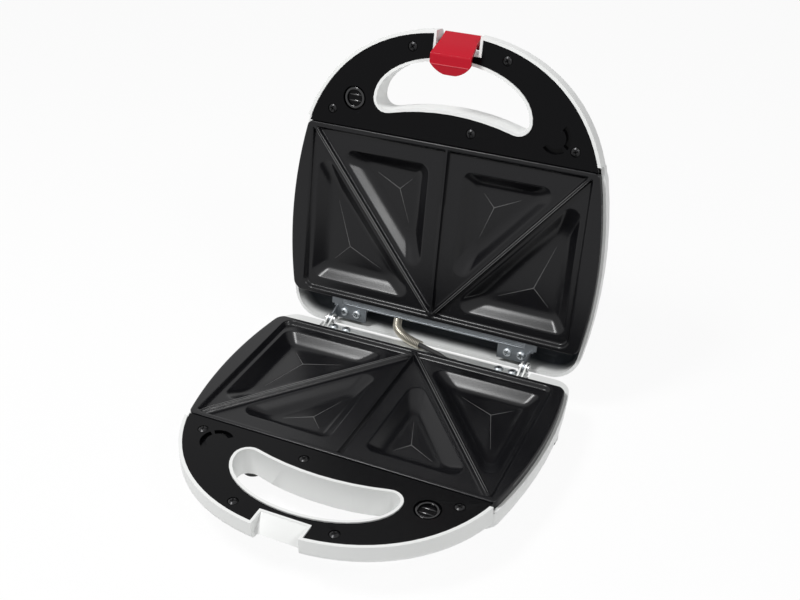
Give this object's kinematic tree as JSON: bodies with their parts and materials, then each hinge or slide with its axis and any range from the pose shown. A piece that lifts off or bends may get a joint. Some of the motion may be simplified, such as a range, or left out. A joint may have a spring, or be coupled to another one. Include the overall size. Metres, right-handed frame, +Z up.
{
  "type": "sandwich toaster",
  "caption": "Clamshell toaster whose hinged lid and base carry ridged cooking plates with triangular pockets, looped handles and a swinging latch.",
  "frame": {"origin": "middle of the open toaster's footprint, on the table under the feet", "axes": "+X to the right and +Y to the hinges as seen from the handle, +Z up"},
  "size_m": [0.231, 0.2748, 0.2469],
  "materials": {
    "white_plastic": "gloss",
    "black_plastic": "semi-gloss",
    "non_stick_casting": "satin non-stick coating",
    "shield_sheet": "aluminised sheet",
    "heater_tube": "matt oxidised",
    "ceramic": "matt",
    "galvanised_steel": "satin",
    "bright_steel": "bright",
    "black_screw": "blackened",
    "rubber_black": "matt",
    "grey_plastic": "matt",
    "wire_red": "matt",
    "fuse_sleeve": "woven",
    "red_plastic": "gloss",
    "red_lens": "clear",
    "green_lens": "clear"
  },
  "bodies": {
    "base": {"base_housing": "white_plastic", "base_handle_plate": "black_plastic", "base_cooking_plate": "non_stick_casting", "base_heat_shield": "shield_sheet", "base_heating_element": "heater_tube", "base_thermostat": "ceramic", "base_hinge_rail": "galvanised_steel", "base_cover_screws": "black_screw", "base_rail_screws": "bright_steel", "base_plate_screws": "bright_steel", "base_feet": "rubber_black", "base_wiring": "wire_red", "cord_grommet": "grey_plastic", "terminal_block": "ceramic", "thermal_fuse": "fuse_sleeve", "hinge_pins": "bright_steel", "link_lead": "rubber_black", "link_spring_sleeve": "bright_steel"},
    "lid": {"lid_housing": "white_plastic", "lid_handle_plate": "black_plastic", "lid_cooking_plate": "non_stick_casting", "lid_heat_shield": "shield_sheet", "lid_heating_element": "heater_tube", "lid_thermostat": "ceramic", "lid_hinge_rail": "galvanised_steel", "lid_cover_screws": "black_screw", "lid_rail_screws": "bright_steel", "lid_plate_screws": "bright_steel", "lid_wiring": "wire_red", "power_lamp_lens": "red_lens", "ready_lamp_lens": "green_lens", "lamp_holder": "ceramic", "latch_pin": "bright_steel", "latch_spring": "bright_steel"},
    "latch": {"latch": "red_plastic"}
  },
  "joints": [
    {"name": "lid_hinge", "type": "hinge", "parent": "base", "child": "lid", "pos_m": [0, 0.08023, 0.03405], "axis": [1, 0, 0], "range_deg": [0, 100.5], "deforming": ["link_lead", "link_spring_sleeve"]},
    {"name": "latch_pivot", "type": "hinge", "parent": "lid", "child": "latch", "pos_m": [0, 0.1307, 0.23858], "axis": [-1, 0, 0], "range_deg": [0, 39.2]}
  ],
  "couplings": [
    {"joint": "latch_pivot", "follows": "lid_hinge", "ratio": 0.39}
  ]
}
